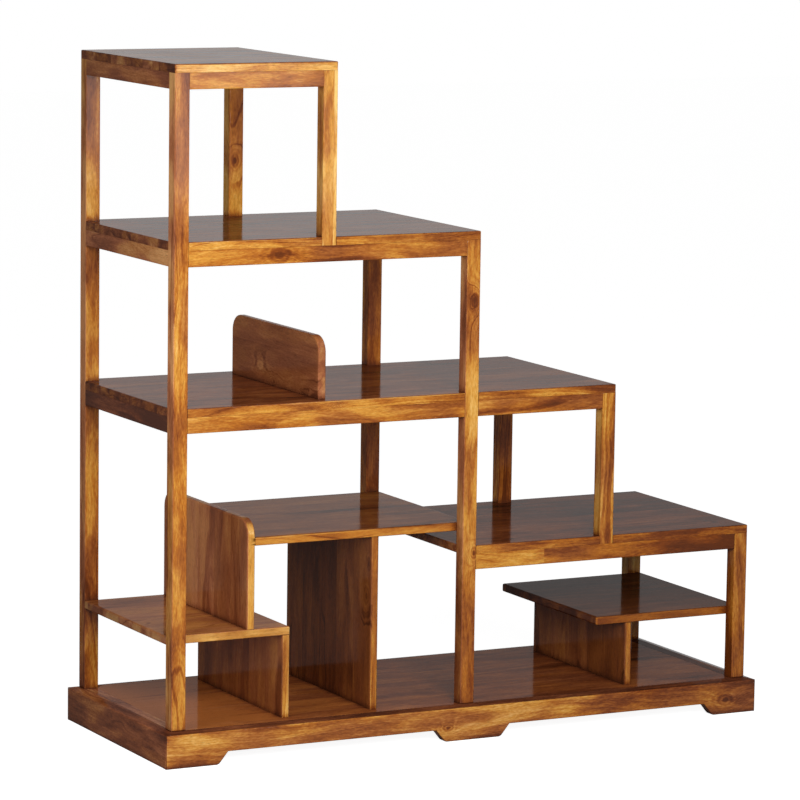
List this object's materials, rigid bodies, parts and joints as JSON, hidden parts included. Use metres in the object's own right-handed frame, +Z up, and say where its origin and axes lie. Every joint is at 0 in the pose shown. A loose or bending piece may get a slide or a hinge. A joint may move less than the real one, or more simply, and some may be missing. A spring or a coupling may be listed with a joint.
{
  "type": "staircase bookshelf",
  "caption": "Free-standing bookshelf in glossy solid hardwood, its shelves stepping down like stairs on slim posts over a low footed plinth, with small shelves and rounded dividers in the bays.",
  "frame": {"origin": "on the floor, in the middle of the plinth's footprint", "axes": "+Z up, -Y the front, -X the tall side and +X the low side"},
  "size_m": [1.179, 0.437, 1.202],
  "materials": {
    "frame_wood": "glossy lacquer over amber hardwood with dark streaks and knots",
    "board_wood": "glossy lacquer over brown hardwood, grain along the length",
    "plinth_wood": "glossy lacquer over amber hardwood",
    "inner_wood": "glossy lacquer over dark brown hardwood",
    "block_wood": "raw sawn softwood, out of sight",
    "steel": "zinc plated steel"
  },
  "bodies": {
    "root": {"plinth_panel": "board_wood", "plinth_left_batten": "plinth_wood", "plinth_right_batten": "plinth_wood", "plinth_front_skirt": "plinth_wood", "plinth_back_skirt": "plinth_wood", "plinth_left_skirt": "plinth_wood", "plinth_right_skirt": "plinth_wood", "plinth_stretcher": "block_wood", "plinth_block_front_left": "block_wood", "plinth_block_front_middle": "block_wood", "plinth_block_front_right": "block_wood", "plinth_block_back_left": "block_wood", "plinth_block_back_middle": "block_wood", "plinth_block_back_right": "block_wood", "post_front_left": "frame_wood", "post_front_upper": "frame_wood", "post_front_middle": "frame_wood", "post_front_lower": "frame_wood", "post_front_right": "frame_wood", "post_back_left": "frame_wood", "post_back_upper": "frame_wood", "post_back_middle": "frame_wood", "post_back_lower": "frame_wood", "post_back_right": "frame_wood", "top_board": "board_wood", "second_board": "board_wood", "third_board": "board_wood", "low_board": "board_wood", "top_front_rail": "frame_wood", "top_back_rail": "frame_wood", "top_left_rail": "frame_wood", "top_right_rail": "frame_wood", "second_front_rail": "frame_wood", "second_back_rail": "frame_wood", "second_left_rail": "frame_wood", "second_right_rail": "frame_wood", "third_front_rail_left": "frame_wood", "third_front_rail_right": "frame_wood", "third_back_rail_left": "frame_wood", "third_back_rail_right": "frame_wood", "third_left_rail": "frame_wood", "third_right_rail": "frame_wood", "low_front_rail": "frame_wood", "low_back_rail": "frame_wood", "low_right_rail": "frame_wood", "lower_left_shelf": "inner_wood", "lower_left_support": "inner_wood", "lower_divider": "inner_wood", "middle_shelf": "inner_wood", "middle_support": "inner_wood", "lower_right_shelf": "inner_wood", "lower_right_support": "inner_wood", "upper_divider": "inner_wood", "screw_front_left": "steel", "screw_front_middle": "steel", "screw_front_right": "steel", "screw_back_left": "steel", "screw_back_middle": "steel", "screw_back_right": "steel"}
  },
  "joints": []
}
